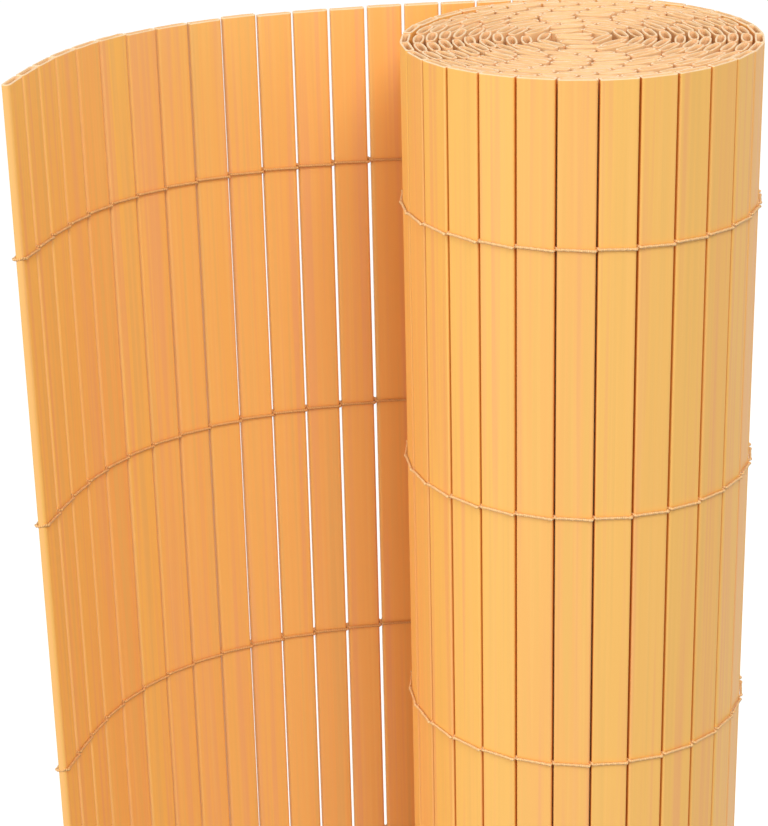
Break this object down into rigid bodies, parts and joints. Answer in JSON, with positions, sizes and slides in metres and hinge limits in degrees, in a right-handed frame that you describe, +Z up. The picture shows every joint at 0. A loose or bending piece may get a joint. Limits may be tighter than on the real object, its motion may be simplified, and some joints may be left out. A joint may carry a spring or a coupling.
{
  "type": "pvc screening mat",
  "caption": "Standing roll of plastic screening mat: hollow flat slats sewn side by side by rows of thread, with its free end unrolled and curled forward.",
  "frame": {"origin": "on the floor, at the middle of the part's plan box", "axes": "+Z up along the slats; +X from the curled free end towards the roll; +Y away from the side that the free end curls to"},
  "size_m": [0.2598, 0.1308, 0.9],
  "materials": {
    "slat_plastic": "satin",
    "thread": "matte"
  },
  "bodies": {
    "root": {"rolled_turns": "slat_plastic", "free_slat_01": "slat_plastic", "free_slat_02": "slat_plastic", "free_slat_03": "slat_plastic", "free_slat_04": "slat_plastic", "free_slat_05": "slat_plastic", "free_slat_06": "slat_plastic", "free_slat_07": "slat_plastic", "free_slat_08": "slat_plastic", "free_slat_09": "slat_plastic", "free_slat_10": "slat_plastic", "free_slat_11": "slat_plastic", "free_slat_12": "slat_plastic", "free_slat_13": "slat_plastic", "free_slat_14": "slat_plastic", "free_slat_15": "slat_plastic", "free_slat_16": "slat_plastic", "free_slat_17": "slat_plastic", "free_slat_18": "slat_plastic", "thread_row_1": "thread", "thread_row_2": "thread", "thread_row_3": "thread", "thread_row_4": "thread", "thread_row_5": "thread", "thread_row_6": "thread", "thread_row_7": "thread", "thread_row_8": "thread", "thread_row_9": "thread"}
  },
  "joints": []
}
